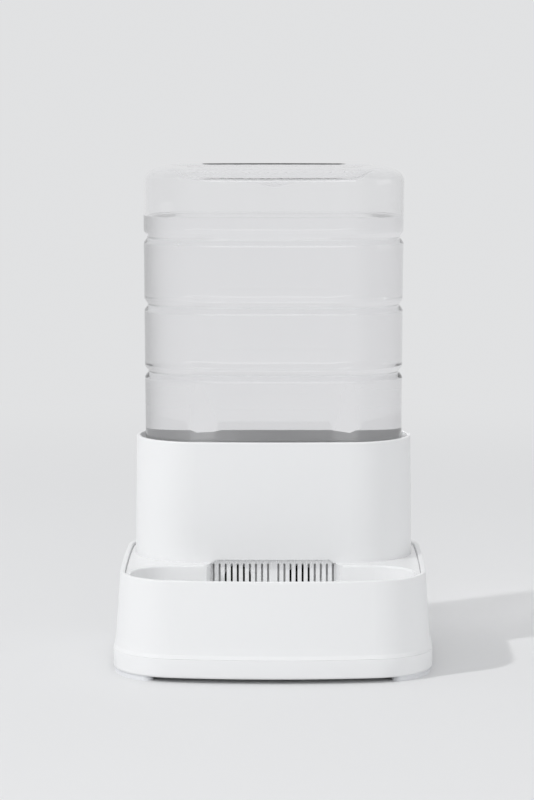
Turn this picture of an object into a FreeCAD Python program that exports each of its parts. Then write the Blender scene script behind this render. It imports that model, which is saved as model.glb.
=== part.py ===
import FreeCAD, Part
import math
import os

# Gravity pet water dispenser: a clear tank stands upside down in an oval collar on a low base.
# The base has a wide drinking bowl in front, a reservoir under the collar and a filter between them.
# Millimetres. Origin on the floor under the middle of the base, +Z up, the bowl towards -Y.

# Base plan and heights
BASE_WIDTH = 230.0
BASE_DEPTH = 227.0
BASE_CORNER = 49.0
BASE_FRONT_BOW = 14.0
BASE_SIDE_BOW = 2.2
END_BOW = 1.1
FOOT_HEIGHT = 3.4
COVER_HEIGHT = 13.2
RIM_HEIGHT = 72.0
WALL_LEAN = 3.2
FLARE = 1.6
FLARE_HEIGHT = 8.0
SEAM = 0.35
SEAM_HEIGHT = 0.5
REBATE = 1.2
SPIGOT_CLEARANCE = 0.1
BASE_WALL = 2.4
COVER_STEP = 6.6
LIP_WIDTH = 3.4
LIP_RISE = 2.0
LIP_ROUND = 1.0

# Seat of the tray in the shell
LEDGE_WIDTH = 2.4
LEDGE_THICKNESS = 2.0
TRAY_CLEARANCE = 0.25
TRAY_EDGE_ROUND = 0.4

# Bowl
BOWL_SIDE_MARGIN = 13.0
BOWL_FRONT_MARGIN = 7.4
BOWL_COLLAR_GAP = 10.3
BOWL_CORNER = 36.0
BOWL_FRONT_BOW = 14.0
BOWL_BACK_BOW = 1.2
BOWL_DEPTH = 47.0
BOWL_LEAN = 8.0
BOWL_FLOOR_ROUND = 13.0
BOWL_EDGE_ROUND = 1.6

# Collar that holds the tank
COLLAR_SIDE_MARGIN = 12.6
COLLAR_REAR_MARGIN = 24.8
COLLAR_DEPTH = 104.4
COLLAR_CORNER = 49.0
COLLAR_BOW = 7.0
COLLAR_TOP = 158.2
COLLAR_LEAN = 1.0
COLLAR_WALL = 2.6
SHELF_TOP = 116.0
SHELF_THICKNESS = 2.6
SOCKET_DROP = 24.0
SOCKET_WALL = 2.2
SOCKET_CLEARANCE = 1.6

# Reservoir under the collar
WELL_SIDE_MARGIN = 16.4
WELL_MARGIN = 9.5
WELL_CORNER = 36.0
WELL_BOW = 4.0
WELL_FLOOR_ROUND = 6.0
CURB_HEIGHT = 5.0
CURB_WALL = 2.0
CURB_CLEARANCE = 0.4
CURB_REACH = 40.4

# Filter window between bowl and reservoir
WINDOW_WIDTH = 89.4
WINDOW_RISE = 2.3
WINDOW_LEAN = 1.6
WINDOW_CORNER = 4.0
WINDOW_FLARE = 3.6
WINDOW_SILL = 2.0

# Filter box
FILTER_DEPTH = 10.0
FILTER_OVERLAP = 2.4
FILTER_TOP_RISE = 8.0
FILTER_WALL = 1.8
FILTER_CLEARANCE = 0.3
SLOT_COUNT = 10
SLOT_PITCH = 4.43
SLOT_WIDTH = 1.5
SLOT_CENTRE_GAP = 7.5
SLOT_TOP_DROP = 1.1
SLOT_BOTTOM_MARGIN = 6.0
FRAME_THICKNESS = 1.6
FRAME_SETBACK = 4.0
ARCH_RADIUS = 10.0
ARCH_OFFSET = 23.0
ARCH_CENTRE = -3.0
ARCH_TOP_DROP = 3.0
ARCH_BOTTOM_MARGIN = 8.0
PAD_THICKNESS = 2.4
FRAME_CLEARANCE = 0.1
PAD_CLEARANCE = 0.3
GUIDE_RIB = 2.4
RAIL_LIP = 2.0
RAIL_DROP = 2.0

# Tank
TANK_SIDE_GAP = 6.4
TANK_FRONT_GAP = 6.2
TANK_TAPER = 1.2
TANK_CORNER = 43.0
TANK_BOW = 5.5
TANK_TOP = 357.6
TANK_WALL = 1.5
HEEL_REACH = 20.0
HEEL_REACH_FRONT = 13.0
HEEL_RISE = 11.4
HEEL_STEPS = 5
SHOULDER_HEIGHT = 22.0
SHOULDER_END_WIDTH = 88.0
SHOULDER_END_DEPTH = 78.0
SHOULDER_END_CORNER = 35.0
GROOVE_COUNT = 3
GROOVE_PITCH = 49.55
GROOVE_TOP_DROP = 52.6
GROOVE_EDGE_ROUND = 4.0
GROOVE_ROOT_ROUND = 1.6
GROOVE_DEPTH = 2.6
GROOVE_OPEN = 8.4
GROOVE_FLOOR = 1.2
DISH_MARGIN = 22.0
DISH_FRONT_MARGIN = 15.0
DISH_CORNER = 27.0
DISH_SINK = 9.5
DISH_ROUND = 5.0
NUB_RADIUS = 22.0
NUB_SINK = 6.5

# Neck and screw cap
NECK_RADIUS = 26.0
NECK_WALL = 2.2
NECK_LENGTH = 34.7
BEAD_RADIUS = 29.5
BEAD_THICKNESS = 2.5
BEAD_CLEARANCE = 2.0
GASKET_THICKNESS = 1.8
GASKET_WIDTH = 4.4
CAP_INNER_RADIUS = 27.5
CAP_WALL = 3.5
CAP_END_WALL = 2.5
CAP_SKIRT = 24.0
CAP_RIBS = 30
CAP_RIB_DEPTH = 0.9
CAP_RIB_WIDTH = 2.4
CAP_RIB_MARGIN = 2.5
NOZZLE_RADIUS = 17.0
NOZZLE_WALL = 3.0
NOZZLE_LENGTH = 19.0
SEAT_THICKNESS = 2.5
SEAT_HOLE_RADIUS = 9.5

# Valve inside the cap, held open by the pin on the reservoir floor
VALVE_LIFT = 5.5
VALVE_SPARE_TRAVEL = 4.8
SEAL_THICKNESS = 2.0
DISC_RADIUS = 11.5
DISC_THICKNESS = 2.5
STEM_RADIUS = 3.0
STEM_RISE = 26.0
TIP_RADIUS = 4.0
TIP_DROP = 4.0
PIN_GAP = 0.2
PIN_FIN_REACH = 9.0
PIN_FIN_THICKNESS = 2.0
PIN_FIN_DROP = 8.0
GUIDE_RING_HEIGHT = 4.0
GUIDE_RING_WALL = 2.2
GUIDE_CAGE_HEIGHT = 13.0
GUIDE_DISC = 2.5
GUIDE_CLEARANCE = 0.1
STEM_CLEARANCE = 0.3
SPRING_RADIUS = 5.6
SPRING_WIRE = 0.9
SPRING_TURNS = 5
SPRING_CLEARANCE = 0.05

# Fasteners and feet
SCREW_SIDE_INSETS = (37.0, 17.0, 43.0)
SCREW_BOWL_OFFSET = 2.5
SCREW_COLLAR_OFFSET = 14.5
SCREW_REAR_INSET = 22.0
SCREW_HEAD_RADIUS = 3.0
SCREW_HEAD_HEIGHT = 1.8
SCREW_HEAD_ROUND = 0.7
SCREW_HEAD_SINK = 0.6
DRIVE_REACH = 1.6
DRIVE_HALF = 0.35
DRIVE_DEPTH = 1.1
SCREW_RADIUS = 1.3
SCREW_LENGTH = 12.0
SCREW_CLEARANCE = 0.4
BOSS_RADIUS = 3.8
PILOT_CLEARANCE = 0.05
BOSS_PAD_HEIGHT = 2.2
BOSS_PAD_WALL = 2.0
PAD_SEAT = 0.8
FOOT_INSET = 1.4
FOOT_WIDTH = 10.0
FOOT_START = -22.0
FOOT_END = 56.0
FOOT_STEP = 0.5
FOOT_STEP_HEIGHT = 2.0
FOOT_SEAT_CLEARANCE = 0.1
EDGE_ROUND = 0.9
COVER_EDGE_ROUND = 1.8
CORNER_LIMIT = 0.98
FLAT = 1e-3
CLEAR = 5.0

# Heights that follow from the sizes above
DECK = RIM_HEIGHT - LIP_RISE
DECK_UNDERSIDE = DECK - BASE_WALL
COVER_TOP = FOOT_HEIGHT + COVER_HEIGHT
FLARE_TOP = COVER_TOP + SEAM_HEIGHT + FLARE_HEIGHT
WALL_FOOT = COVER_TOP - COVER_STEP
BOWL_FLOOR = DECK - BOWL_DEPTH
WELL_FLOOR = BOWL_FLOOR
NECK_MOUTH = SHELF_TOP - NECK_LENGTH
CAP_END_TOP = NECK_MOUTH - GASKET_THICKNESS
CAP_END_BOTTOM = CAP_END_TOP - CAP_END_WALL
NOZZLE_MOUTH = CAP_END_BOTTOM - NOZZLE_LENGTH
SEAT_TOP = NOZZLE_MOUTH + SEAT_THICKNESS
SEAL_BOTTOM = SEAT_TOP + VALVE_LIFT
DISC_BOTTOM = SEAL_BOTTOM + SEAL_THICKNESS
DISC_TOP = DISC_BOTTOM + DISC_THICKNESS
TIP_BOTTOM = SEAL_BOTTOM - TIP_DROP
PIN_TOP = TIP_BOTTOM - PIN_GAP
GUIDE_BOTTOM = DISC_TOP + VALVE_SPARE_TRAVEL
GUIDE_DISC_BOTTOM = GUIDE_BOTTOM + GUIDE_RING_HEIGHT + GUIDE_CAGE_HEIGHT



def bow_radius(half_chord, bow):
    """Radius of the arc that rises by the bow over its half chord."""
    return (half_chord * half_chord + bow * bow) / (2 * bow)


def bow_at(half_chord, bow, x):
    """How far the arc has dropped back at a distance from its middle."""
    radius = bow_radius(half_chord, bow)
    return radius - math.sqrt(radius * radius - x * x)


# Widths and places that follow from the base's size
COLLAR_WIDTH = BASE_WIDTH - 2 * COLLAR_SIDE_MARGIN
COLLAR_CENTRE = BASE_DEPTH / 2 - COLLAR_REAR_MARGIN - COLLAR_DEPTH / 2
BOWL_WIDTH = BASE_WIDTH - 2 * BOWL_SIDE_MARGIN
BOWL_BACK = COLLAR_CENTRE - COLLAR_DEPTH / 2 - BOWL_COLLAR_GAP
WELL_WIDTH = COLLAR_WIDTH - 2 * WELL_SIDE_MARGIN
TANK_WIDTH = COLLAR_WIDTH - 2 * TANK_SIDE_GAP
TANK_DEPTH = COLLAR_DEPTH - 2 * TANK_FRONT_GAP
DISH_WIDTH = TANK_WIDTH - 2 * DISH_MARGIN
DISH_DEPTH = TANK_DEPTH - 2 * DISH_FRONT_MARGIN
CURB_END = COLLAR_WIDTH / 2 - CURB_REACH
GROOVE_HEIGHTS = [TANK_TOP - GROOVE_TOP_DROP - n * GROOVE_PITCH for n in reversed(range(GROOVE_COUNT))]

# Places along Y that line up the bowl, the window, the collar and the filter
FILTER_HALF = WINDOW_WIDTH / 2 + FILTER_OVERLAP
FILTER_TOP = DECK + FILTER_TOP_RISE
COLLAR_FRONT = COLLAR_CENTRE - COLLAR_DEPTH / 2
COLLAR_LEAN_AT_FILTER = COLLAR_LEAN * FILTER_TOP_RISE / (COLLAR_TOP - DECK)
COLLAR_INNER_FRONT = COLLAR_FRONT + COLLAR_WALL + bow_at(COLLAR_WIDTH / 2, COLLAR_BOW, FILTER_HALF)
FILTER_FRONT = COLLAR_INNER_FRONT + COLLAR_LEAN_AT_FILTER + FILTER_CLEARANCE
AXIS_Y = COLLAR_CENTRE

# Pocket for the filter box and foot of the screw bosses
POCKET_HALF = FILTER_HALF + FILTER_CLEARANCE
POCKET_FRONT = FILTER_FRONT - FILTER_CLEARANCE
POCKET_BACK = FILTER_FRONT + FILTER_DEPTH + FILTER_CLEARANCE
SILL = WELL_FLOOR + WINDOW_SILL
BOSS_FOOT = FOOT_HEIGHT + BASE_WALL + BOSS_PAD_HEIGHT
SCREW_HEAD_TOP = FOOT_HEIGHT + SCREW_HEAD_SINK + SCREW_HEAD_HEIGHT


class Outline:
    """Oval plan of eight tangent arcs: bowed front, back and sides joined by round corners."""

    def __init__(self, half_width, half_depth, corner, front, back, side, centre_y=0.0):
        self.w = half_width
        self.h = half_depth
        self.corner = corner
        self.front = front
        self.back = back
        self.side = side
        self.cy = centre_y

    def inset(self, distance):
        """The parallel outline that lies a distance inside this one."""
        sizes = [self.w, self.h, self.corner, self.front, self.back, self.side]
        return Outline(*[size - distance for size in sizes], self.cy)

    def corner_centre(self, sign_y):
        """Centre of the right-hand corner arc at the front (-1) or the back (+1)."""
        radius = self.front if sign_y < 0 else self.back
        end = FreeCAD.Vector(0, self.cy + sign_y * (self.h - radius), 0)
        side = FreeCAD.Vector(self.w - self.side, self.cy, 0)
        a = radius - self.corner
        b = self.side - self.corner
        span = side.sub(end)
        d = span.Length
        along = (a * a - b * b + d * d) / (2 * d)
        off = math.sqrt(a * a - along * along)
        unit = span.multiply(1 / d)
        foot = end.add(FreeCAD.Vector(unit).multiply(along))
        normal = FreeCAD.Vector(-unit.y, unit.x, 0)
        if normal.y * sign_y < 0:
            normal = normal.multiply(-1)
        centre = foot.add(normal.multiply(off))
        return centre, end, side, radius

    def wire(self, z):
        """The closed wire of the outline at a height."""
        points = {}
        for sign_y in (-1, 1):
            c, end, side, radius = self.corner_centre(sign_y)
            to_end = c.sub(end).normalize()
            to_side = c.sub(side).normalize()
            on_end = end.add(FreeCAD.Vector(to_end).multiply(radius))
            on_side = side.add(FreeCAD.Vector(to_side).multiply(self.side))
            middle = c.add(to_end.add(to_side).normalize().multiply(self.corner))
            points[sign_y] = (on_end, middle, on_side)
        front_mid = FreeCAD.Vector(0, self.cy - self.h, 0)
        back_mid = FreeCAD.Vector(0, self.cy + self.h, 0)
        right_mid = FreeCAD.Vector(self.w, self.cy, 0)

        def at(p, mirror=False):
            return FreeCAD.Vector(-p.x if mirror else p.x, p.y, z)

        fe, fm, fs = points[-1]
        be, bm, bs = points[1]
        arcs = [
            (at(fe, True), at(front_mid), at(fe)),
            (at(fe), at(fm), at(fs)),
            (at(fs), at(right_mid), at(bs)),
            (at(bs), at(bm), at(be)),
            (at(be), at(back_mid), at(be, True)),
            (at(be, True), at(bm, True), at(bs, True)),
            (at(bs, True), at(right_mid, True), at(fs, True)),
            (at(fs, True), at(fm, True), at(fe, True)),
        ]
        return Part.Wire([Part.Arc(*a).toShape() for a in arcs])


def full_corner(w, h, bow):
    """Corner radius at which the round end takes up the whole side."""
    return (2 * bow * h - h * h - w * w) / (2 * (bow - w))


def oval(width, depth, corner, front_bow, back_bow, side_bow, centre_y=0.0):
    """Outline from overall sizes and the bows of its front, back and sides."""
    w = width / 2
    h = depth / 2
    front = bow_radius(w, front_bow)
    back = bow_radius(w, back_bow)
    most = CORNER_LIMIT * min(full_corner(w, h, front), full_corner(w, h, back))
    return Outline(w, h, min(corner, most), front, back, bow_radius(h, side_bow), centre_y)


def stack(sections):
    """Solid through outlines at heights, given as (outline, z) pairs."""
    return Part.makeLoft([outline.wire(z) for outline, z in sections], True, True)


def prism(outline, z0, z1):
    """Straight solid of an outline between two heights."""
    return Part.Face(outline.wire(z0)).extrude(FreeCAD.Vector(0, 0, z1 - z0))


def edges_at(shape, z, inside=None):
    """The edges of a shape that lie flat at a height, all of them or those within a box in plan."""
    found = []
    for edge in shape.Edges:
        b = edge.BoundBox
        flat = abs(b.ZMin - z) < FLAT and abs(b.ZMax - z) < FLAT
        if inside and flat:
            x0, x1, y0, y1 = inside
            flat = x0 <= b.XMin and b.XMax <= x1 and y0 <= b.YMin and b.YMax <= y1
        if flat:
            found.append(edge)
    return found


def box(x0, x1, y0, y1, z0, z1):
    return Part.makeBox(x1 - x0, y1 - y0, z1 - z0, FreeCAD.Vector(x0, y0, z0))


def cylinder(radius, z0, z1, x=0.0, y=0.0):
    return Part.makeCylinder(radius, z1 - z0, FreeCAD.Vector(x, y, z0))


def ring(outer, inner, z0, z1, x=0.0, y=0.0):
    return cylinder(outer, z0, z1, x, y).cut(cylinder(inner, z0 - 1, z1 + 1, x, y))


def both_sides(places):
    """Each place and its mirror image across the middle plane."""
    return [(side * x, y) for x, y in places for side in (-1, 1)]


BASE = oval(BASE_WIDTH, BASE_DEPTH, BASE_CORNER, BASE_FRONT_BOW, BASE_FRONT_BOW, BASE_SIDE_BOW)
WALL_AT_RIM = BASE.inset(SEAM + FLARE + WALL_LEAN)
RIM_FRONT = -WALL_AT_RIM.h
BOWL_FRONT = RIM_FRONT + BOWL_FRONT_MARGIN
BOWL = oval(
    BOWL_WIDTH,
    BOWL_BACK - BOWL_FRONT,
    BOWL_CORNER,
    BOWL_FRONT_BOW,
    BOWL_BACK_BOW,
    END_BOW,
    (BOWL_BACK + BOWL_FRONT) / 2,
)
COLLAR = oval(COLLAR_WIDTH, COLLAR_DEPTH, COLLAR_CORNER, COLLAR_BOW, COLLAR_BOW, END_BOW, COLLAR_CENTRE)
COLLAR_INSIDE = COLLAR.inset(COLLAR_WALL)
WELL = oval(
    WELL_WIDTH,
    COLLAR_DEPTH - 2 * WELL_MARGIN,
    WELL_CORNER,
    WELL_BOW,
    WELL_BOW,
    END_BOW,
    COLLAR_CENTRE,
)
TANK = oval(TANK_WIDTH, TANK_DEPTH, TANK_CORNER, TANK_BOW, TANK_BOW, END_BOW, AXIS_Y)
TRAY_PLATE = WALL_AT_RIM.inset(LIP_WIDTH + TRAY_CLEARANCE)
SCREW_PLACES = (
    (BASE_WIDTH / 2 - SCREW_SIDE_INSETS[0], BOWL.cy - SCREW_BOWL_OFFSET),
    (BASE_WIDTH / 2 - SCREW_SIDE_INSETS[1], COLLAR_CENTRE - SCREW_COLLAR_OFFSET),
    (BASE_WIDTH / 2 - SCREW_SIDE_INSETS[2], BASE_DEPTH / 2 - SCREW_REAR_INSET),
)


def wall_sections(inset):
    """Outlines up the leaning outer wall and the flare at its foot, moved in by a distance."""
    return [
        (BASE.inset(SEAM + inset), COVER_TOP + SEAM_HEIGHT),
        (BASE.inset(SEAM + FLARE * 0.62 + inset), COVER_TOP + SEAM_HEIGHT + FLARE_HEIGHT * 0.35),
        (BASE.inset(SEAM + FLARE + inset), FLARE_TOP),
        (WALL_AT_RIM.inset(inset), RIM_HEIGHT),
    ]


def base_shell():
    """Outer wall with flared foot, spigot for the cover, raised lip and the ledge that carries the tray."""
    outer = stack(wall_sections(0))
    outer = outer.makeFillet(EDGE_ROUND, edges_at(outer, RIM_HEIGHT))
    outer = outer.fuse(prism(BASE.inset(REBATE), WALL_FOOT, COVER_TOP + SEAM_HEIGHT + 1))
    inner = stack(wall_sections(BASE_WALL))
    inner = inner.fuse(prism(BASE.inset(SEAM + BASE_WALL), WALL_FOOT - 1, COVER_TOP + SEAM_HEIGHT))
    ledge_foot = DECK_UNDERSIDE - LEDGE_THICKNESS
    inner = inner.cut(box(-BASE_WIDTH, BASE_WIDTH, -BASE_DEPTH, BASE_DEPTH, ledge_foot, RIM_HEIGHT + 1))
    mouth = prism(WALL_AT_RIM.inset(BASE_WALL + LEDGE_WIDTH), ledge_foot - 1, RIM_HEIGHT + CLEAR)
    recess = prism(WALL_AT_RIM.inset(LIP_WIDTH), DECK_UNDERSIDE, RIM_HEIGHT + CLEAR)
    around_bowl = bowl_form(BASE_WALL + TRAY_CLEARANCE, BOWL_FLOOR - BASE_WALL, DECK)
    shell = outer.cut(inner).cut(mouth).cut(recess).cut(around_bowl)
    middle = WALL_AT_RIM.inset(LIP_WIDTH / 2)
    reach = (-middle.w, middle.w, -middle.h, middle.h)
    return shell.makeFillet(LIP_ROUND, edges_at(shell, RIM_HEIGHT, reach))


def bowl_form(grow, floor, top):
    """The bowl's hollow, or its outside when grown by the wall."""
    outline = BOWL.inset(-grow)
    low = stack([(outline.inset(BOWL_LEAN), floor), (outline, DECK)])
    round_floor = min(BOWL_FLOOR_ROUND, (BOWL.h - BOWL_LEAN) * 0.9)
    low = low.makeFillet(round_floor + grow, edges_at(low, floor))
    if top > DECK:
        low = low.fuse(prism(outline, DECK, top))
    return low


def well_form(grow, floor, top):
    """The reservoir's hollow, or its outside when grown by the wall."""
    form = prism(WELL.inset(-grow), floor, top)
    return form.makeFillet(WELL_FLOOR_ROUND + grow, edges_at(form, floor))


def window_block(grow, top):
    """Flared passage from the bowl to the filter, or its outside when grown by the wall."""
    back = WINDOW_WIDTH / 2 + grow
    front = back + WINDOW_FLARE
    y0 = BOWL_BACK - BOWL_LEAN - 2
    y1 = FILTER_FRONT
    y_bowl = BOWL_BACK - 1
    corners = [(-front, y0), (front, y0), (front, y_bowl), (back, y1), (-back, y1), (-front, y_bowl)]
    z0 = SILL - grow
    points = [FreeCAD.Vector(x, y, z0) for x, y in corners]
    face = Part.Face(Part.makePolygon(points + points[:1]))
    return face.extrude(FreeCAD.Vector(0, 0, top - z0))


def base_tray():
    """One moulding: deck, bowl, reservoir, window, curbs, opening pin and screw bosses."""
    tray = prism(TRAY_PLATE, DECK_UNDERSIDE, DECK)
    tray = tray.makeFillet(TRAY_EDGE_ROUND, edges_at(tray, DECK))
    tray = tray.fuse(bowl_form(BASE_WALL, BOWL_FLOOR - BASE_WALL, DECK))
    bowl = bowl_form(0, BOWL_FLOOR, RIM_HEIGHT + CLEAR)
    tray = tray.cut(bowl).removeSplitter()
    mouth = (-BOWL.w - 1, BOWL.w + 1, BOWL_FRONT - 1, BOWL_BACK + 1)
    tray = tray.makeFillet(BOWL_EDGE_ROUND, edges_at(tray, DECK, mouth))
    tray = tray.fuse(well_form(BASE_WALL, WELL_FLOOR - BASE_WALL, DECK))
    for x, y in both_sides(SCREW_PLACES):
        top = BOWL_FLOOR - BASE_WALL / 2 if y < BOWL_BACK else DECK_UNDERSIDE + BASE_WALL / 2
        tray = tray.fuse(cylinder(BOSS_RADIUS, BOSS_FOOT, top, x, y))
    passage = window_block(BASE_WALL, DECK).fuse(pocket_cheek())
    tray = tray.fuse(passage.cut(bowl))
    tray = tray.cut(well_form(0, WELL_FLOOR, RIM_HEIGHT + CLEAR))
    tray = tray.cut(window_block(0, RIM_HEIGHT + CLEAR))
    tray = tray.cut(box(-POCKET_HALF, POCKET_HALF, POCKET_FRONT, POCKET_BACK, SILL, RIM_HEIGHT + CLEAR))
    tray = tray.fuse(pocket_rails()).fuse(locating_curbs()).fuse(opening_pin())
    for x, y in both_sides(SCREW_PLACES):
        pilot = cylinder(SCREW_RADIUS + PILOT_CLEARANCE, BOSS_FOOT - 1, BOSS_FOOT + SCREW_LENGTH, x, y)
        tray = tray.cut(pilot)
    return tray.removeSplitter()


def pocket_cheek():
    """Wall between bowl and reservoir in which the filter box's pocket is sunk."""
    half = POCKET_HALF + GUIDE_RIB
    return box(-half, half, POCKET_FRONT - BASE_WALL, WELL.cy - WELL.h + 2, SILL - BASE_WALL, DECK)


def pocket_rails():
    """Upright rails with lips that hold the filter box's ends."""
    rails = []
    for side in (-1, 1):
        near = side * POCKET_HALF
        far = side * (POCKET_HALF + GUIDE_RIB)
        lip = side * (POCKET_HALF - RAIL_LIP)
        z1 = DECK - RAIL_DROP
        rail = box(min(near, far), max(near, far), POCKET_FRONT, POCKET_BACK + GUIDE_RIB, WELL_FLOOR - 1, z1)
        edge = box(min(lip, near), max(lip, near), POCKET_BACK, POCKET_BACK + GUIDE_RIB, WELL_FLOOR - 1, z1)
        rails.append(rail.fuse(edge))
    return rails[0].fuse(rails[1])


def locating_curbs():
    """Low walls on the deck that the collar drops over, at its two round ends."""
    outside = COLLAR_INSIDE.inset(CURB_CLEARANCE)
    z1 = DECK + CURB_HEIGHT
    band = prism(outside, DECK - 1, z1)
    band = band.cut(prism(outside.inset(CURB_WALL), DECK - 2, z1 + 1))
    far = COLLAR_CENTRE + COLLAR_DEPTH
    middle = box(-CURB_END, CURB_END, COLLAR_FRONT - CLEAR, far, DECK - 3, z1 + CLEAR)
    return band.cut(middle)


def opening_pin():
    """Finned post on the reservoir floor that pushes the valve open."""
    pin = cylinder(TIP_RADIUS, WELL_FLOOR - 1, PIN_TOP, 0, AXIS_Y)
    half = PIN_FIN_THICKNESS / 2
    for dx, dy in ((PIN_FIN_REACH, half), (half, PIN_FIN_REACH)):
        pin = pin.fuse(box(-dx, dx, AXIS_Y - dy, AXIS_Y + dy, WELL_FLOOR - 1, NOZZLE_MOUTH - PIN_FIN_DROP))
    return pin


def foot_corner(side_x, side_y):
    """Centre and radius of the base corner that a foot follows."""
    centre = BASE.corner_centre(side_y)[0]
    return side_x * centre.x, centre.y, BASE.corner - FOOT_INSET


def foot_form(side_x, side_y, grow, z0, z1):
    """Curved strip with round ends, along a corner of the base."""
    cx, cy, outer = foot_corner(side_x, side_y)
    middle = outer - FOOT_WIDTH / 2
    half = FOOT_WIDTH / 2 + grow

    def place(angle, reach):
        a = math.radians(angle)
        return FreeCAD.Vector(cx + side_x * reach * math.cos(a), cy + side_y * reach * math.sin(a), z0)

    sector = [FreeCAD.Vector(cx, cy, z0)]
    for angle in (FOOT_START, (FOOT_START + FOOT_END) / 2, FOOT_END):
        sector.append(place(angle, 2 * outer))
    wedge = Part.Face(Part.makePolygon(sector + sector[:1])).extrude(FreeCAD.Vector(0, 0, z1 - z0))
    strip = ring(middle + half, middle - half, z0, z1, cx, cy).common(wedge)
    for angle in (FOOT_START, FOOT_END):
        end = place(angle, middle)
        strip = strip.fuse(cylinder(half, z0, z1, end.x, end.y))
    return strip.removeSplitter()


def base_cover():
    """Bottom pan that closes the base; its rim shows as the band round the foot."""
    pan = prism(BASE, FOOT_HEIGHT, COVER_TOP)
    pan = pan.makeFillet(COVER_EDGE_ROUND, edges_at(pan, FOOT_HEIGHT))
    pan = pan.makeFillet(EDGE_ROUND / 2, edges_at(pan, COVER_TOP))
    rebate = BASE.inset(REBATE - SPIGOT_CLEARANCE)
    pan = pan.cut(prism(rebate, WALL_FOOT, COVER_TOP + 1))
    hollow = BASE.inset(SEAM + BASE_WALL)
    pan = pan.cut(prism(hollow, FOOT_HEIGHT + BASE_WALL, COVER_TOP + 1))
    for x, y in both_sides(SCREW_PLACES):
        head_hole = SCREW_HEAD_RADIUS + SCREW_CLEARANCE
        pan = pan.fuse(cylinder(head_hole + BOSS_PAD_WALL, FOOT_HEIGHT + 1, BOSS_FOOT, x, y))
        pan = pan.cut(cylinder(head_hole, FOOT_HEIGHT - 1, SCREW_HEAD_TOP, x, y))
        pan = pan.cut(cylinder(SCREW_RADIUS + SCREW_CLEARANCE, FOOT_HEIGHT - 1, BOSS_FOOT + 1, x, y))
    grow = FOOT_SEAT_CLEARANCE - FOOT_STEP
    for side_x in (-1, 1):
        for side_y in (-1, 1):
            pan = pan.cut(foot_form(side_x, side_y, grow, FOOT_HEIGHT - 1, FOOT_HEIGHT + PAD_SEAT))
    return pan


def foot(side_x, side_y):
    """Soft pad pressed into its seat under a corner."""
    pad = foot_form(side_x, side_y, 0, 0, FOOT_STEP_HEIGHT)
    upper = foot_form(side_x, side_y, -FOOT_STEP, FOOT_STEP_HEIGHT - 1, FOOT_HEIGHT + PAD_SEAT)
    return pad.fuse(upper).removeSplitter()


def screw(x, y):
    """Self-tapping pan-head screw that holds the cover to a boss of the tray."""
    z0 = SCREW_HEAD_TOP - SCREW_HEAD_HEIGHT
    head = cylinder(SCREW_HEAD_RADIUS, z0, SCREW_HEAD_TOP, x, y)
    head = head.makeFillet(SCREW_HEAD_ROUND, edges_at(head, z0))
    for dx, dy in ((DRIVE_REACH, DRIVE_HALF), (DRIVE_HALF, DRIVE_REACH)):
        head = head.cut(box(x - dx, x + dx, y - dy, y + dy, z0 - 1, z0 + DRIVE_DEPTH))
    shank = cylinder(SCREW_RADIUS, SCREW_HEAD_TOP - 0.5, SCREW_HEAD_TOP + SCREW_LENGTH - 1, x, y)
    return head.fuse(shank).removeSplitter()


def tank_collar():
    """Oval tower with the shelf and socket that carry the tank, and the filter notch in its foot."""
    top = COLLAR.inset(COLLAR_LEAN)
    outer = stack([(COLLAR, DECK), (top, COLLAR_TOP)])
    outer = outer.makeFillet(EDGE_ROUND, edges_at(outer, COLLAR_TOP))
    inner = stack([(COLLAR_INSIDE, DECK - 1), (top.inset(COLLAR_WALL), COLLAR_TOP + 1)])
    collar = outer.cut(inner)
    into_wall = COLLAR.inset(COLLAR_LEAN + COLLAR_WALL / 4)
    shelf = prism(into_wall, SHELF_TOP - SHELF_THICKNESS, SHELF_TOP)
    socket = CAP_INNER_RADIUS + CAP_WALL + CAP_RIB_DEPTH + SOCKET_CLEARANCE
    collar = collar.fuse(shelf)
    collar = collar.fuse(cylinder(socket + SOCKET_WALL, SHELF_TOP - SOCKET_DROP, SHELF_TOP - 1, 0, AXIS_Y))
    collar = collar.cut(cylinder(socket, SHELF_TOP - SOCKET_DROP - 1, SHELF_TOP + 1, 0, AXIS_Y))
    return collar.cut(window_notch()).removeSplitter()


def window_notch():
    """Opening in the collar's foot in front of the filter, narrower and rounded at the top."""
    half = WINDOW_WIDTH / 2
    z0 = DECK - WINDOW_RISE
    z1 = DECK + WINDOW_RISE
    corners = [(-half, z0), (half, z0), (half - WINDOW_LEAN, z1), (WINDOW_LEAN - half, z1), (-half, z0)]
    notch = Part.Face(Part.makePolygon([FreeCAD.Vector(x, COLLAR_FRONT - 1, z) for x, z in corners]))
    notch = notch.extrude(FreeCAD.Vector(0, FILTER_FRONT - COLLAR_FRONT + FILTER_DEPTH, 0))
    upper = [e for e in notch.Edges if e.BoundBox.ZMin > DECK and e.BoundBox.XLength < FLAT]
    return notch.makeFillet(min(WINDOW_CORNER, 1.9 * WINDOW_RISE), upper)


def grooved_body(inset, z_low, z_high):
    """The tank's tapered side with a rounded waist groove at each height."""

    def outline(z, depth=0.0):
        return TANK.inset(inset + depth + TANK_TAPER * (z_high - z) / (z_high - z_low))

    sections = [(outline(z_low), z_low)]
    edges = []
    roots = []
    for z in GROOVE_HEIGHTS:
        foot, crown = z - GROOVE_OPEN / 2, z + GROOVE_OPEN / 2
        low, high = z - GROOVE_FLOOR / 2, z + GROOVE_FLOOR / 2
        sections += [(outline(foot), foot), (outline(low, GROOVE_DEPTH), low)]
        sections += [(outline(high, GROOVE_DEPTH), high), (outline(crown), crown)]
        edges += [foot, crown]
        roots += [low, high]
    body = stack(sections + [(outline(z_high), z_high)])
    root_edges = [e for z in roots for e in edges_at(body, z)]
    body = body.makeFillet(GROOVE_ROOT_ROUND, root_edges)
    outer_edges = [e for z in edges for e in edges_at(body, z)]
    return body.makeFillet(GROOVE_EDGE_ROUND - inset, outer_edges)


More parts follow.
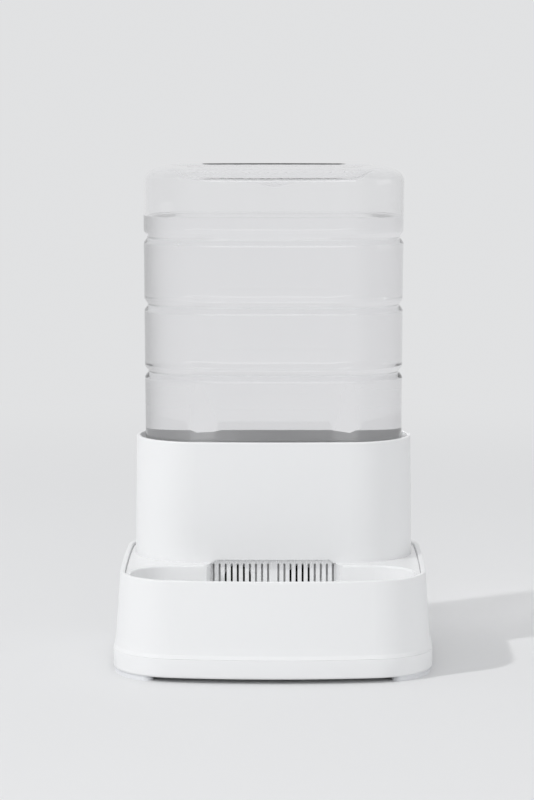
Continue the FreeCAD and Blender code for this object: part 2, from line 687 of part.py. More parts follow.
def tank_heel(inset, z_low):
    """The turn from the tank's side to its top rim, a quarter ellipse that is wider at the ends."""
    wires = []
    for step in range(HEEL_STEPS + 1):
        a = math.radians(90 * step / HEEL_STEPS)
        turn = 1 - math.cos(a)
        width = TANK_WIDTH - 2 * HEEL_REACH * turn
        depth = TANK_DEPTH - 2 * HEEL_REACH_FRONT * turn
        corner = TANK_CORNER - HEEL_REACH_FRONT * turn
        outline = oval(width, depth, corner, TANK_BOW, TANK_BOW, END_BOW, AXIS_Y)
        wires.append(outline.inset(inset * math.cos(a)).wire(z_low + (HEEL_RISE - inset) * math.sin(a)))
    return Part.makeLoft(wires, True, False)


def tank_form(inset):
    """The tank's outside, or its hollow when inset by the wall."""
    shoulder = oval(SHOULDER_END_WIDTH, SHOULDER_END_DEPTH, SHOULDER_END_CORNER, 3.0, 3.0, 3.0, AXIS_Y)
    low = SHELF_TOP + inset
    neck_end = SHELF_TOP + SHOULDER_HEIGHT
    heel_foot = TANK_TOP - HEEL_RISE
    body = grooved_body(inset, neck_end, heel_foot)
    cone = stack([(shoulder.inset(inset), low), (TANK.inset(inset + TANK_TAPER), neck_end)])
    form = body.fuse(cone).fuse(tank_heel(inset, heel_foot))
    dish = oval(DISH_WIDTH, DISH_DEPTH, DISH_CORNER, TANK_BOW, TANK_BOW, END_BOW, AXIS_Y).inset(-inset)
    floor = TANK_TOP - DISH_SINK - inset
    sink = stack([(dish.inset(DISH_ROUND), floor), (dish, TANK_TOP + 1)])
    sink = sink.makeFillet(DISH_ROUND, edges_at(sink, floor))
    nub_centre = FreeCAD.Vector(0, AXIS_Y, TANK_TOP - DISH_SINK - NUB_SINK + NUB_RADIUS)
    return form.cut(sink).cut(Part.makeSphere(NUB_RADIUS + inset, nub_centre))


def tank():
    """Blown clear bottle, standing on its shoulder, with waist grooves and a dished bottom on top."""
    outer = tank_form(0).fuse(cylinder(NECK_RADIUS, NECK_MOUTH, SHELF_TOP + 1, 0, AXIS_Y))
    bead_low = CAP_END_BOTTOM + CAP_SKIRT + BEAD_CLEARANCE
    outer = outer.fuse(cylinder(BEAD_RADIUS, bead_low, bead_low + BEAD_THICKNESS, 0, AXIS_Y))
    inner = tank_form(TANK_WALL)
    bore = cylinder(NECK_RADIUS - NECK_WALL, NECK_MOUTH - 1, SHELF_TOP + TANK_WALL + 1, 0, AXIS_Y)
    return outer.cut(inner).cut(bore).removeSplitter()


def cap_gasket():
    outer = NECK_RADIUS + 1
    return ring(outer, outer - GASKET_WIDTH, CAP_END_TOP, NECK_MOUTH, 0, AXIS_Y)


def tank_cap():
    """Screw cap with grip ribs and a nozzle that ends in the valve seat."""
    outer = CAP_INNER_RADIUS + CAP_WALL
    skirt_top = CAP_END_BOTTOM + CAP_SKIRT
    body = cylinder(outer, CAP_END_BOTTOM, skirt_top, 0, AXIS_Y)
    body = body.makeFillet(EDGE_ROUND, edges_at(body, CAP_END_BOTTOM))
    half = CAP_RIB_WIDTH / 2
    for n in range(CAP_RIBS):
        low = CAP_END_BOTTOM + CAP_RIB_MARGIN
        rib = box(0, outer + CAP_RIB_DEPTH, -half, half, low, skirt_top - CAP_RIB_MARGIN)
        rib.rotate(FreeCAD.Vector(0, 0, 0), FreeCAD.Vector(0, 0, 1), 360.0 * n / CAP_RIBS)
        rib.translate(FreeCAD.Vector(0, AXIS_Y, 0))
        body = body.fuse(rib)
    body = body.fuse(cylinder(NOZZLE_RADIUS, NOZZLE_MOUTH, CAP_END_BOTTOM + 1, 0, AXIS_Y))
    body = body.cut(cylinder(CAP_INNER_RADIUS, CAP_END_TOP, skirt_top + 1, 0, AXIS_Y))
    body = body.cut(cylinder(NOZZLE_RADIUS - NOZZLE_WALL, SEAT_TOP, CAP_END_TOP + 1, 0, AXIS_Y))
    body = body.cut(cylinder(SEAT_HOLE_RADIUS, NOZZLE_MOUTH - 1, SEAT_TOP + 1, 0, AXIS_Y))
    return body.removeSplitter()


def valve_guide():
    """Cage that clips into the nozzle, guides the stem and holds the spring's upper end."""
    outer = NOZZLE_RADIUS - NOZZLE_WALL - GUIDE_CLEARANCE
    ring_top = GUIDE_BOTTOM + GUIDE_RING_HEIGHT
    guide = ring(outer, outer - GUIDE_RING_WALL, GUIDE_BOTTOM, ring_top, 0, AXIS_Y)
    guide = guide.fuse(cylinder(outer, GUIDE_DISC_BOTTOM, GUIDE_DISC_BOTTOM + GUIDE_DISC, 0, AXIS_Y))
    for n in range(3):
        post = box(outer - GUIDE_RING_WALL, outer - 0.2, -2, 2, ring_top - 1, GUIDE_DISC_BOTTOM + 1)
        post.rotate(FreeCAD.Vector(0, 0, 0), FreeCAD.Vector(0, 0, 1), 120.0 * n + 30)
        post.translate(FreeCAD.Vector(0, AXIS_Y, 0))
        guide = guide.fuse(post)
    bore_top = GUIDE_DISC_BOTTOM + GUIDE_DISC + 1
    bore = cylinder(STEM_RADIUS + STEM_CLEARANCE, GUIDE_DISC_BOTTOM - 1, bore_top, 0, AXIS_Y)
    return guide.cut(bore).removeSplitter()


def valve_plunger():
    """Stem with the disc that the spring pushes down and the tip that stands over the pin."""
    plunger = cylinder(STEM_RADIUS, DISC_BOTTOM, DISC_TOP + STEM_RISE, 0, AXIS_Y)
    plunger = plunger.fuse(cylinder(DISC_RADIUS, DISC_BOTTOM, DISC_TOP, 0, AXIS_Y))
    plunger = plunger.fuse(cylinder(TIP_RADIUS, TIP_BOTTOM, DISC_BOTTOM + 1, 0, AXIS_Y))
    return plunger.removeSplitter()


def valve_seal():
    return ring(DISC_RADIUS, TIP_RADIUS, SEAL_BOTTOM, DISC_BOTTOM, 0, AXIS_Y)


def valve_spring():
    """Round-wire compression spring between the disc and the guide, four arcs to a turn."""
    low = DISC_TOP + SPRING_WIRE / 2 + SPRING_CLEARANCE
    high = GUIDE_DISC_BOTTOM - SPRING_WIRE / 2 - SPRING_CLEARANCE

    def along(quarters):
        a = math.radians(90 * quarters)
        z = low + (high - low) * quarters / (4 * SPRING_TURNS)
        return FreeCAD.Vector(SPRING_RADIUS * math.cos(a), AXIS_Y + SPRING_RADIUS * math.sin(a), z)

    arcs = [Part.Arc(along(n), along(n + 0.5), along(n + 1)) for n in range(4 * SPRING_TURNS)]
    heading = arcs[0].tangent(arcs[0].FirstParameter)[0]
    section = Part.Wire([Part.makeCircle(SPRING_WIRE / 2, along(0), heading)])
    return Part.Wire([arc.toShape() for arc in arcs]).makePipeShell([section], True, False)


def arched_hole(x, radius, y, length, z0, z1):
    """Upright hole along Y with a flat foot and a half-round top."""
    crown_centre = FreeCAD.Vector(x, y, z1 - radius)
    crown = Part.makeCylinder(radius, length, crown_centre, FreeCAD.Vector(0, 1, 0))
    return box(x - radius, x + radius, y, y + length, z0, z1 - radius).fuse(crown).removeSplitter()


def slot_places():
    """Slot centres across the filter grille, in two equal groups."""
    first = SLOT_CENTRE_GAP / 2
    return [side * (first + n * SLOT_PITCH) for side in (-1, 1) for n in range(SLOT_COUNT)]


def filter_grille():
    """Slotted front of the filter box with the side walls that hold the frame and the pad."""
    half = FILTER_HALF
    y0 = FILTER_FRONT
    y1 = FILTER_FRONT + FILTER_DEPTH
    wall = FILTER_WALL
    grille = box(-half, half, y0, y1, SILL, FILTER_TOP)
    grille = grille.cut(box(wall - half, half - wall, y0 + wall, y1 + 1, SILL + wall, FILTER_TOP - wall))
    low = SILL + SLOT_BOTTOM_MARGIN
    high = DECK - SLOT_TOP_DROP
    slots = [arched_hole(x, SLOT_WIDTH / 2, y0 - 1, wall + 2, low, high) for x in slot_places()]
    return grille.cut(Part.makeCompound(slots))


def filter_frame():
    """Back plate of the filter box, with two arched windows."""
    inside = FILTER_HALF - FILTER_WALL - FRAME_CLEARANCE
    z0 = SILL + FILTER_WALL
    z1 = FILTER_TOP - FILTER_WALL - FRAME_CLEARANCE
    y0 = FILTER_FRONT + FILTER_WALL + FRAME_SETBACK
    frame = box(-inside, inside, y0, y0 + FRAME_THICKNESS, z0, z1)
    low = z0 + ARCH_BOTTOM_MARGIN
    high = DECK - ARCH_TOP_DROP
    for side in (-1, 1):
        x = ARCH_CENTRE + side * ARCH_OFFSET
        frame = frame.cut(arched_hole(x, ARCH_RADIUS, y0 - 1, FRAME_THICKNESS + 2, low, high))
    return frame


def filter_pad():
    """Carbon felt held behind the frame."""
    inside = FILTER_HALF - FILTER_WALL - PAD_CLEARANCE
    z0 = SILL + FILTER_WALL
    z1 = FILTER_TOP - FILTER_WALL - PAD_CLEARANCE
    y0 = FILTER_FRONT + FILTER_WALL + FRAME_SETBACK + FRAME_THICKNESS
    return box(-inside, inside, y0, y0 + PAD_THICKNESS, z0, z1)


def main():
    os.makedirs("parts", exist_ok=True)
    pieces = {
        "base_shell": base_shell(),
        "base_tray": base_tray(),
        "base_cover": base_cover(),
        "tank_collar": tank_collar(),
        "tank": tank(),
        "cap_gasket": cap_gasket(),
        "tank_cap": tank_cap(),
        "valve_guide": valve_guide(),
        "valve_plunger": valve_plunger(),
        "valve_seal": valve_seal(),
        "valve_spring": valve_spring(),
        "filter_grille": filter_grille(),
        "filter_frame": filter_frame(),
        "filter_pad": filter_pad(),
    }
    for side_y, end in ((-1, "front"), (1, "back")):
        for side_x, hand in ((-1, "left"), (1, "right")):
            pieces["foot_%s_%s" % (end, hand)] = foot(side_x, side_y)
    for n, (x, y) in enumerate(both_sides(SCREW_PLACES), 1):
        pieces["cover_screw_%d" % n] = screw(x, y)
    for name, shape in pieces.items():
        solids = shape.Solids
        print(name, "solids", len(solids), "valid", shape.isValid(), "volume", round(shape.Volume, 1))
        shape.exportStep("parts/" + name + ".step")


main()
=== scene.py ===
import bpy
import bmesh
import math
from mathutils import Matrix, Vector


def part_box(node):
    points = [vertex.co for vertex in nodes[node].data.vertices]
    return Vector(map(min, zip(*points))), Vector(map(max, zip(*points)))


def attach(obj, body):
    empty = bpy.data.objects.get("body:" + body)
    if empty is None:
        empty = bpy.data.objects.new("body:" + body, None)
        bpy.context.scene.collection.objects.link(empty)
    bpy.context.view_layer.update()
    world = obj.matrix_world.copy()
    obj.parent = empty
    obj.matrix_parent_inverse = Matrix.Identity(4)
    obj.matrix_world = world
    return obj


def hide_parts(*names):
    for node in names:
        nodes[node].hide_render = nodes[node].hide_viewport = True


# Gravity pet water dispenser: white base, bowl and collar, clear tank full of water.
# Metres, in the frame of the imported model: floor at z 0, bowl towards -Y.

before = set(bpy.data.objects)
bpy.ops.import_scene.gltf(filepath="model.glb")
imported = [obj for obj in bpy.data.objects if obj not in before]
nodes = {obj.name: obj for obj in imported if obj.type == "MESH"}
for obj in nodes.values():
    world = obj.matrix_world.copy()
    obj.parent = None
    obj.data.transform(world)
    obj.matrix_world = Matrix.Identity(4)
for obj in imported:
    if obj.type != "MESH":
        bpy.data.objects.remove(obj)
bpy.context.view_layer.update()
scene = bpy.context.scene
BODY = "dispenser"
MM = 0.001

# Places read from the frame
TANK_LOW, TANK_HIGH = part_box("tank")
TANK_TOP = TANK_HIGH.z
MIDDLE = Vector((0, (TANK_LOW.y + TANK_HIGH.y) / 2))

# Tank and water
WALL = 1.5 * MM
WATER_INTO_WALL = 0.7 * MM
WATER_LEVEL = TANK_TOP - 36.6 * MM
SEARCH_REACH = 20 * MM

# Dished end of the tank: its steep side takes the outer share of the way to the middle
DISH_SIDE = 7.6 * MM
DISH_SIDE_SHARE = 0.16
DISH_CUP = 3.4 * MM
DISH_NUB = 3.2 * MM
DISH_NUB_REACH = 13 * MM
DISH_STEEP_RINGS = (0.99, 0.975, 0.955, 0.93, 0.9, 0.87, 0.84)
DISH_FLAT_RINGS = (0.8, 0.74, 0.66, 0.57, 0.48, 0.39, 0.31, 0.24, 0.17, 0.11, 0.06)
DISH_CREASE = 40.0

# Cover: the height of the rim that is drawn up, and by how much
COVER_RIM = 1.2 * MM
COVER_RISE = 0.4 * MM

# How close points count as one, as level with the crest and as level with the mouth
SAME_POINT = 0.002 * MM
SAME_CREST = 0.03 * MM
SAME_MOUTH = 0.05 * MM
SAME_BORE = 0.5 * MM

# Studio
BACKDROP = (0.752, 0.757, 0.765)
FLOOR_COLOUR = (0.8, 0.803, 0.808)
FLOOR_RADIUS = 40.0
FLOOR_LIT_TO = 0.7
FLOOR_EVEN_FROM = 1.6
DAYLIGHT = (0.985, 0.99, 1.0)
DAYLIGHT_STRENGTH = 0.72
AIM = Vector((0, 0, 0.1))
CAMERA_PLACE = (0.0116, -2.3196, 0.4582)
CAMERA_DOWN = 0.116
CAMERA_TURN = 0.007
LENS = 144.0
SENSOR = 36.0
SIGHT_LIMIT = 100.0


def new_material(name):
    """A material with an empty node tree; gives both."""
    mat = bpy.data.materials.new(name)
    mat.use_nodes = True
    mat.node_tree.nodes.clear()
    return mat, mat.node_tree


def group_sockets(name, inputs, outputs):
    """An empty node group with named sockets; gives its tree and its two end nodes."""
    tree = bpy.data.node_groups.new(name, "ShaderNodeTree")
    for label, kind, value in inputs:
        socket = tree.interface.new_socket(name=label, in_out="INPUT", socket_type=kind)
        socket.default_value = value
    for label, kind in outputs:
        tree.interface.new_socket(name=label, in_out="OUTPUT", socket_type=kind)
    return tree, tree.nodes.new("NodeGroupInput"), tree.nodes.new("NodeGroupOutput")


def maths(tree, operation, a, b=None, c=None, clamp=False):
    """A Math node fed by sockets or numbers; gives its output."""
    node = tree.nodes.new("ShaderNodeMath")
    node.operation = operation
    node.use_clamp = clamp
    for socket, value in zip(node.inputs, (a, b, c)):
        if value is None:
            continue
        if isinstance(value, (int, float)):
            socket.default_value = value
        else:
            tree.links.new(value, socket)
    return node.outputs[0]


def ramp(tree, value, start, end, first=0.0, last=1.0, kind="SMOOTHSTEP"):
    """A value carried from one range to another, level outside it."""
    node = tree.nodes.new("ShaderNodeMapRange")
    node.interpolation_type = kind
    node.inputs["From Min"].default_value = start
    node.inputs["From Max"].default_value = end
    node.inputs["To Min"].default_value = first
    node.inputs["To Max"].default_value = last
    tree.links.new(value, node.inputs["Value"])
    return node.outputs["Result"]


def noise(tree, vector, scale, detail=2.0, roughness=0.5):
    """Seedless noise, its scale a number or a socket."""
    node = tree.nodes.new("ShaderNodeTexNoise")
    node.inputs["Detail"].default_value = detail
    node.inputs["Roughness"].default_value = roughness
    if isinstance(scale, (int, float)):
        node.inputs["Scale"].default_value = scale
    else:
        tree.links.new(scale, node.inputs["Scale"])
    tree.links.new(vector, node.inputs["Vector"])
    return node.outputs["Fac"]


def object_place(tree, stretch=(1, 1, 1)):
    """Object coordinates, stretched by a Mapping node."""
    place = tree.nodes.new("ShaderNodeTexCoord").outputs["Object"]
    mapping = tree.nodes.new("ShaderNodeMapping")
    mapping.inputs["Scale"].default_value = stretch
    tree.links.new(place, mapping.inputs["Vector"])
    return mapping.outputs["Vector"]


def drifting_colour(tree, colour, drift):
    """A colour that grows a little darker where the drift is high."""
    tint = tree.nodes.new("ShaderNodeMix")
    tint.data_type = "RGBA"
    tint.inputs["A"].default_value = (*colour, 1)
    tint.inputs["B"].default_value = (*[0.985 * c for c in colour], 1)
    tree.links.new(drift, tint.inputs["Factor"])
    return tint.outputs["Result"]


def mixed(tree, share, first, second):
    """Two shaders mixed by the second one's share."""
    mix = tree.nodes.new("ShaderNodeMixShader")
    tree.links.new(share, mix.inputs["Fac"])
    tree.links.new(first.outputs[0], mix.inputs[1])
    tree.links.new(second.outputs[0], mix.inputs[2])
    return mix.outputs[0]


def moulded_plastic():
    """Group for moulded plastic: slow colour drift, fine moulded grain and faint handling marks."""
    tree, given, out = group_sockets(
        "moulded_plastic",
        [
            ("Colour", "NodeSocketColor", (0.8, 0.8, 0.8, 1)),
            ("Drift", "NodeSocketFloat", 0.02),
            ("Roughness", "NodeSocketFloat", 0.4),
            ("Grain Size", "NodeSocketFloat", 1400.0),
            ("Grain Depth", "NodeSocketFloat", 0.15),
        ],
        [("Colour", "NodeSocketColor"), ("Roughness", "NodeSocketFloat"), ("Normal", "NodeSocketVector")],
    )
    place = object_place(tree)
    slow = maths(tree, "SUBTRACT", noise(tree, place, scale=9.0), 0.5)
    brightness = maths(tree, "MULTIPLY_ADD", slow, given.outputs["Drift"], 1.0)
    tint = tree.nodes.new("ShaderNodeVectorMath")
    tint.operation = "SCALE"
    tree.links.new(given.outputs["Colour"], tint.inputs[0])
    tree.links.new(brightness, tint.inputs["Scale"])
    upright = object_place(tree, stretch=(30, 30, 6))
    marks = maths(tree, "SUBTRACT", noise(tree, upright, scale=8.0, detail=4.0, roughness=0.7), 0.5)
    rough = maths(tree, "MULTIPLY_ADD", marks, 0.12, given.outputs["Roughness"], clamp=True)
    bump = tree.nodes.new("ShaderNodeBump")
    bump.inputs["Distance"].default_value = 0.05 * MM
    tree.links.new(given.outputs["Grain Depth"], bump.inputs["Strength"])
    tree.links.new(noise(tree, place, given.outputs["Grain Size"], roughness=0.6), bump.inputs["Height"])
    tree.links.new(tint.outputs[0], out.inputs["Colour"])
    tree.links.new(rough, out.inputs["Roughness"])
    tree.links.new(bump.outputs["Normal"], out.inputs["Normal"])
    return tree


MOULDED = moulded_plastic()


def plastic(name, colour, roughness, drift=0.02, grain_size=1400.0, grain_depth=0.15):
    """Opaque moulded plastic with its own values in the shared group."""
    mat, tree = new_material(name)
    group = tree.nodes.new("ShaderNodeGroup")
    group.node_tree = MOULDED
    group.inputs["Colour"].default_value = (*colour, 1)
    group.inputs["Roughness"].default_value = roughness
    group.inputs["Drift"].default_value = drift
    group.inputs["Grain Size"].default_value = grain_size
    group.inputs["Grain Depth"].default_value = grain_depth
    shader = tree.nodes.new("ShaderNodeBsdfPrincipled")
    shader.inputs["IOR"].default_value = 1.5
    tree.links.new(group.outputs["Colour"], shader.inputs["Base Color"])
    tree.links.new(group.outputs["Roughness"], shader.inputs["Roughness"])
    tree.links.new(group.outputs["Normal"], shader.inputs["Normal"])
    out = tree.nodes.new("ShaderNodeOutputMaterial")
    tree.links.new(shader.outputs[0], out.inputs["Surface"])
    return mat


def clear_material(name, colour, ior, stretch, wave_depth, haze, shade):
    """Clear plastic or water that lets lamps through, with slow waves in its surface.

    A lamp's light comes through dimmed to shade where it falls far behind the surface. A path
    that was already bent more than five times goes straight on.
    """
    mat, tree = new_material(name)
    shader = tree.nodes.new("ShaderNodeBsdfPrincipled")
    shader.inputs["Transmission Weight"].default_value = 1.0
    shader.inputs["IOR"].default_value = ior
    place = object_place(tree, stretch)
    streaks = noise(tree, place, scale=6.0)
    tree.links.new(drifting_colour(tree, colour, streaks), shader.inputs["Base Color"])
    tree.links.new(maths(tree, "MULTIPLY", streaks, haze), shader.inputs["Roughness"])
    bump = tree.nodes.new("ShaderNodeBump")
    bump.inputs["Distance"].default_value = wave_depth
    tree.links.new(noise(tree, place, scale=14.0), bump.inputs["Height"])
    tree.links.new(bump.outputs["Normal"], shader.inputs["Normal"])
    path = tree.nodes.new("ShaderNodeLightPath")
    through = tree.nodes.new("ShaderNodeBsdfTransparent")
    dimmed = ramp(tree, path.outputs["Ray Length"], 0.07, 0.15, 1.0, shade, kind="LINEAR")
    tree.links.new(dimmed, through.inputs["Color"])
    often_bent = maths(tree, "GREATER_THAN", path.outputs["Ray Depth"], 5.5)
    straight = maths(tree, "MAXIMUM", path.outputs["Is Shadow Ray"], often_bent)
    out = tree.nodes.new("ShaderNodeOutputMaterial")
    tree.links.new(mixed(tree, straight, shader, through), out.inputs["Surface"])
    return mat


def finish_nodes(clear):
    """Gives every carried-over part its finish."""
    white = (0.86, 0.865, 0.87)
    satin = plastic("satin_white_plastic", white, 0.38)
    glossy = plastic("gloss_white_plastic", white, 0.16, grain_size=500.0, grain_depth=0.03)
    # The grille and cap are white plastic, but their colour is painted lighter than the other white:
    # painted light on the grille, which lies in shade under the collar.
    filter_white_painted_light = plastic("filter_white_painted_light_plastic", (0.92, 0.925, 0.93), 0.3)
    valve = plastic("valve_plastic", (0.78, 0.79, 0.8), 0.3)
    rubber = plastic("soft_foot_rubber", (0.8, 0.81, 0.83), 0.3, 0.06, 900.0, 0.4)
    seal = plastic("seal_rubber_grey", (0.2, 0.2, 0.21), 0.55, 0.1, 900.0, 0.4)
    felt = plastic("carbon_felt_black", (0.012, 0.012, 0.013), 0.95, 0.8, 2600.0, 1.0)
    steel = plastic("spring_steel", (0.55, 0.55, 0.56), 0.3)
    given = {
        "base_shell": satin,
        "base_tray": glossy,
        "base_cover": satin,
        "tank_collar": satin,
        "tank": clear,
        "cap_gasket": seal,
        "tank_cap": filter_white_painted_light,
        "valve_guide": valve,
        "valve_plunger": valve,
        "valve_seal": seal,
        "valve_spring": steel,
        "filter_grille": filter_white_painted_light,
        "filter_frame": filter_white_painted_light,
        "filter_pad": felt,
    }
    for name, obj in nodes.items():
        mat = given.get(name)
        if name.startswith("foot_"):
            mat = rubber
        if name.startswith("cover_screw"):
            mat = steel
        for slot in obj.material_slots:
            slot.material = mat


def copied_mesh(node):
    """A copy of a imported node's mesh with its seams merged."""
    bm = bmesh.new()
    bm.from_mesh(nodes[node].data)
    bmesh.ops.remove_doubles(bm, verts=bm.verts, dist=SAME_POINT)
    return bm


def mesh_object(name, bm, mat):
    """Turns a bmesh into an object with one material, its place in its mesh."""
    mesh = bpy.data.meshes.new(name)
    bm.to_mesh(mesh)
    bm.free()
    obj = bpy.data.objects.new(name, mesh)
    scene.collection.objects.link(obj)
    obj.data.materials.append(mat)
    return obj


def crease(bm, degrees=25.0):
    """Smooth faces with sharp edges where the surface turns by more than an angle."""
    for face in bm.faces:
        face.smooth = True
    for edge in bm.edges:
        edge.smooth = len(edge.link_faces) == 2 and edge.calc_face_angle(0.0) < math.radians(degrees)


def reached(starts, shut=frozenset()):
    """The vertices that edges join to the first ones without passing the shut ones."""
    found = set(starts)
    waiting = list(starts)
    while waiting:
        for edge in waiting.pop().link_edges:
            for other in edge.verts:
                if other not in found and other not in shut:
                    found.add(other)
                    waiting.append(other)
    return found


def ring_of(edges):
    """The vertices of a closed loop of edges, in order."""
    neighbours = {}
    for edge in edges:
        a, b = edge.verts
        neighbours.setdefault(a, []).append(b)
        neighbours.setdefault(b, []).append(a)
    first = next(iter(neighbours))
    ring, last, here = [first], None, first
    while True:
        following = next(v for v in neighbours[here] if v is not last)
        if following is first:
            return ring
        ring.append(following)
        last, here = here, following


def join_rings(bm, lower, upper):
    """Faces between two closed rings of as many vertices."""
    for n in range(len(lower)):
        m = (n + 1) % len(lower)
        bm.faces.new((lower[n], lower[m], upper[m], upper[n]))


def from_middle(vert):
    """A vertex's place in plan, seen from the tank's upright axis."""
    return vert.co.xy - MIDDLE


def tank_hollow():
    """The tank's inner wall as an open sheet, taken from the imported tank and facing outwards."""
    bm = copied_mesh("tank")
    mouth = TANK_LOW.z + SAME_MOUTH
    rim = [f for f in bm.faces if max(v.co.z for v in f.verts) < mouth]
    bmesh.ops.delete(bm, geom=rim, context="FACES")
    at_mouth = [v for v in bm.verts if v.co.z < mouth]
    bore = min(from_middle(v).length for v in at_mouth)
    inner = reached([v for v in at_mouth if from_middle(v).length < bore + SAME_BORE])
    bmesh.ops.delete(bm, geom=[v for v in bm.verts if v not in inner], context="VERTS")
    bmesh.ops.reverse_faces(bm, faces=bm.faces)
    return bm


def water_fill(mat):
    """The water that stands in the tank, its skin half-way into the tank's wall."""
    bm = tank_hollow()
    bm.normal_update()
    for vert in bm.verts:
        vert.co += vert.normal * WATER_INTO_WALL
    level = (0, 0, WATER_LEVEL)
    geom = bm.verts[:] + bm.edges[:] + bm.faces[:]
    bmesh.ops.bisect_plane(bm, geom=geom, plane_co=level, plane_no=(0, 0, 1), clear_outer=True)
    bmesh.ops.holes_fill(bm, edges=[e for e in bm.edges if e.is_boundary], sides=0)
    bmesh.ops.recalc_face_normals(bm, faces=bm.faces)
    crease(bm)
    water = mesh_object("tank_water", bm, mat)
    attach(water, BODY)


def dish(at, share):
    """How deep the dished end lies at a share of the way from the middle to its rim."""
    step = min(1.0, (1 - share) / DISH_SIDE_SHARE)
    side = DISH_SIDE * step * step * (3 - 2 * step)
    cup = DISH_CUP * (1 - share * share)
    nub = DISH_NUB * math.exp(-at.length_squared / DISH_NUB_REACH ** 2)
    return side + cup + nub


def open_end(bm, start, crest):
    """Removes the skin inside the crest; gives the loop of vertices that bounds the opening."""
    on_crest = {v for v in bm.verts if abs(v.co.z - crest) < SAME_CREST}
    found = reached([start], on_crest)
    gone = {f for v in found for f in v.link_faces}
    rim = [e for e in bm.edges if {f in gone for f in e.link_faces} == {True, False}]
    bmesh.ops.delete(bm, geom=list(found), context="VERTS")
    return ring_of(rim)


def dish_skin(bm, loop):
    """Closes the opening with rings that shrink towards the middle, each as deep as the dish."""
    previous = loop
    for share in DISH_STEEP_RINGS + DISH_FLAT_RINGS:
        ring = []
        for vert in loop:
            at = from_middle(vert) * share
            ring.append(bm.verts.new((*(MIDDLE + at), vert.co.z - dish(at, share))))
        join_rings(bm, previous, ring)
        previous = ring
    rim_height = sum(v.co.z for v in loop) / len(loop)
    centre = bm.verts.new((*MIDDLE, rim_height - dish(Vector((0, 0)), 0.0)))
    for a, b in zip(previous, previous[1:] + previous[:1]):
        bm.faces.new((a, b, centre))


def dished_tank(mat):
    """The clear tank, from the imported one's copy, with the dished end that the photograph shows."""
    bm = copied_mesh("tank")
    near_axis = [v for v in bm.verts if from_middle(v).length < SEARCH_REACH]
    end = sorted((v for v in near_axis if v.co.z > TANK_TOP - SEARCH_REACH), key=lambda v: v.co.z)
    for start, crest in ((end[-1], TANK_TOP), (end[0], TANK_TOP - WALL)):
        dish_skin(bm, open_end(bm, start, crest))
    bmesh.ops.recalc_face_normals(bm, faces=bm.faces)
    crease(bm, DISH_CREASE)
    tank = mesh_object("clear_tank", bm, mat)
    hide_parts("tank")
    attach(tank, BODY)


def closed_cover():
    """The cover with its rim drawn up, so that only a fine seam stays under the outer wall."""
    bm = copied_mesh("base_cover")
    top = max(v.co.z for v in bm.verts)
    for vert in bm.verts:
        if vert.co.z > top - COVER_RIM:
            vert.co.z += COVER_RISE
    crease(bm)
    cover = mesh_object("closed_cover", bm, nodes["base_cover"].material_slots[0].material)
    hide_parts("base_cover")
    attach(cover, BODY)


def side_dim(tree, place, reach):
    """How bright the studio looks towards a place: dimmer far out to the right."""
    parts = tree.nodes.new("ShaderNodeSeparateXYZ")
    tree.links.new(place, parts.inputs[0])
    side = maths(tree, "DIVIDE", parts.outputs["X"], reach)
    return ramp(tree, side, 0.2, 0.95, 1.0, 0.55)


def looked_at(tree):
    """One for a path that the camera sees, also in a reflection or through the tank."""
    path = tree.nodes.new("ShaderNodeLightPath")
    direct = maths(tree, "ADD", path.outputs["Is Camera Ray"], path.outputs["Is Glossy Ray"], clamp=True)
    return maths(tree, "ADD", direct, path.outputs["Is Transmission Ray"], clamp=True)


def floor_material():
    """Pale floor, lit near the object and even beyond it, so that it runs into the backdrop."""
    mat, tree = new_material("pale_floor")
    place = tree.nodes.new("ShaderNodeTexCoord").outputs["Object"]
    length = tree.nodes.new("ShaderNodeVectorMath")
    length.operation = "LENGTH"
    tree.links.new(place, length.inputs[0])
    reach = length.outputs["Value"]
    fade = ramp(tree, reach, FLOOR_LIT_TO, FLOOR_EVEN_FROM)
    lit = tree.nodes.new("ShaderNodeBsdfPrincipled")
    lit.inputs["Roughness"].default_value = 0.6
    lit.inputs["Specular IOR Level"].default_value = 0.2
    colour = drifting_colour(tree, FLOOR_COLOUR, noise(tree, place, scale=3.0))
    tree.links.new(colour, lit.inputs["Base Color"])
    even = tree.nodes.new("ShaderNodeEmission")
    even.inputs["Color"].default_value = (*BACKDROP, 1)
    tree.links.new(side_dim(tree, place, reach), even.inputs["Strength"])
    share = maths(tree, "MULTIPLY", fade, looked_at(tree))
    out = tree.nodes.new("ShaderNodeOutputMaterial")
    tree.links.new(mixed(tree, share, lit, even), out.inputs["Surface"])
    return mat


def floor_disc():
    """The floor, wide enough to reach the backdrop."""
    bm = bmesh.new()
    bmesh.ops.create_circle(bm, cap_ends=True, segments=96, radius=FLOOR_RADIUS)
    mesh_object("floor", bm, floor_material())


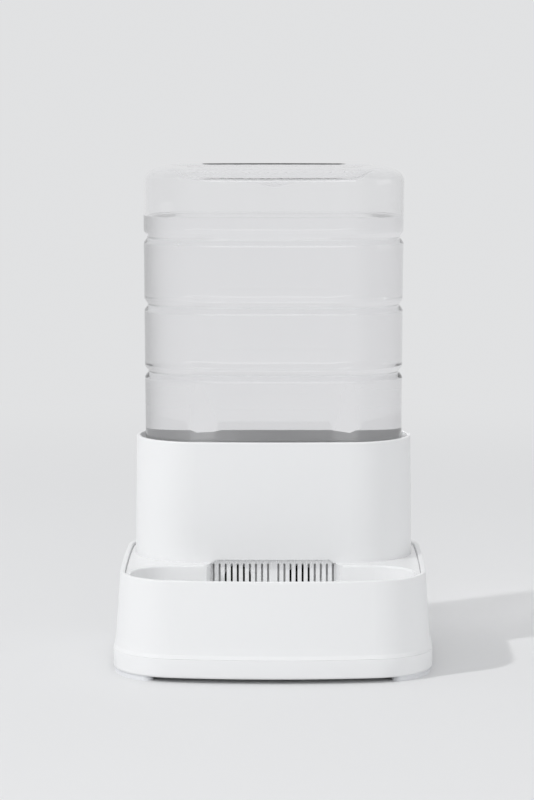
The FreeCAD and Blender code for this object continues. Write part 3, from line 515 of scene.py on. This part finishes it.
def studio_world():
    """Soft daylight from all round, with the plain backdrop in sight."""
    world = bpy.data.worlds.new("studio_world")
    scene.world = world
    world.use_nodes = True
    tree = world.node_tree
    tree.nodes.clear()
    shown = tree.nodes.new("ShaderNodeBackground")
    shown.inputs["Color"].default_value = (*BACKDROP, 1)
    towards = tree.nodes.new("ShaderNodeTexCoord").outputs["Generated"]
    tree.links.new(side_dim(tree, towards, 1.0), shown.inputs["Strength"])
    lights = tree.nodes.new("ShaderNodeBackground")
    lights.inputs["Color"].default_value = (*DAYLIGHT, 1)
    lights.inputs["Strength"].default_value = DAYLIGHT_STRENGTH
    out = tree.nodes.new("ShaderNodeOutputWorld")
    tree.links.new(mixed(tree, looked_at(tree), lights, shown), out.inputs["Surface"])


def lamp(name, place, power, width, height):
    """An area lamp that looks at the object."""
    light = bpy.data.lights.new(name, "AREA")
    light.energy = power
    light.shape = "RECTANGLE"
    light.size = width
    light.size_y = height
    obj = bpy.data.objects.new(name, light)
    obj.location = place
    obj.rotation_euler = (AIM - Vector(place)).to_track_quat("-Z", "Y").to_euler()
    scene.collection.objects.link(obj)


def photo_camera():
    """The camera where the photographer's stood."""
    camera = bpy.data.cameras.new("camera")
    camera.lens = LENS
    camera.sensor_width = SENSOR
    camera.clip_end = SIGHT_LIMIT
    obj = bpy.data.objects.new("camera", camera)
    obj.location = CAMERA_PLACE
    obj.rotation_euler = (math.pi / 2 - CAMERA_DOWN, 0, CAMERA_TURN)
    scene.collection.objects.link(obj)
    scene.camera = obj


def studio():
    """Floor, world, lamps and camera."""
    floor_disc()
    studio_world()
    lamp("key_lamp", (-3.33, -2.1, 3.79), power=95.0, width=0.2, height=0.2)
    lamp("right_softbox", (2.4, -0.3, 0.8), power=2.2, width=1.6, height=1.0)
    lamp("front_softbox", (0.3, -2.8, 1.35), power=6.0, width=1.6, height=0.9)
    photo_camera()
    scene.view_settings.view_transform = "Standard"


clear_plastic = clear_material(
    "clear_blown_plastic",
    colour=(0.988, 0.987, 0.99),
    ior=1.5,
    stretch=(14, 14, 2.5),
    wave_depth=0.03 * MM,
    haze=0.02,
    shade=0.9,
)
still_water = clear_material(
    "still_water",
    colour=(0.99, 0.989, 0.994),
    ior=1.333,
    stretch=(6, 6, 6),
    wave_depth=0.004 * MM,
    haze=0.0,
    shade=0.36,
)
finish_nodes(clear_plastic)
closed_cover()
water_fill(still_water)
dished_tank(clear_plastic)
studio()
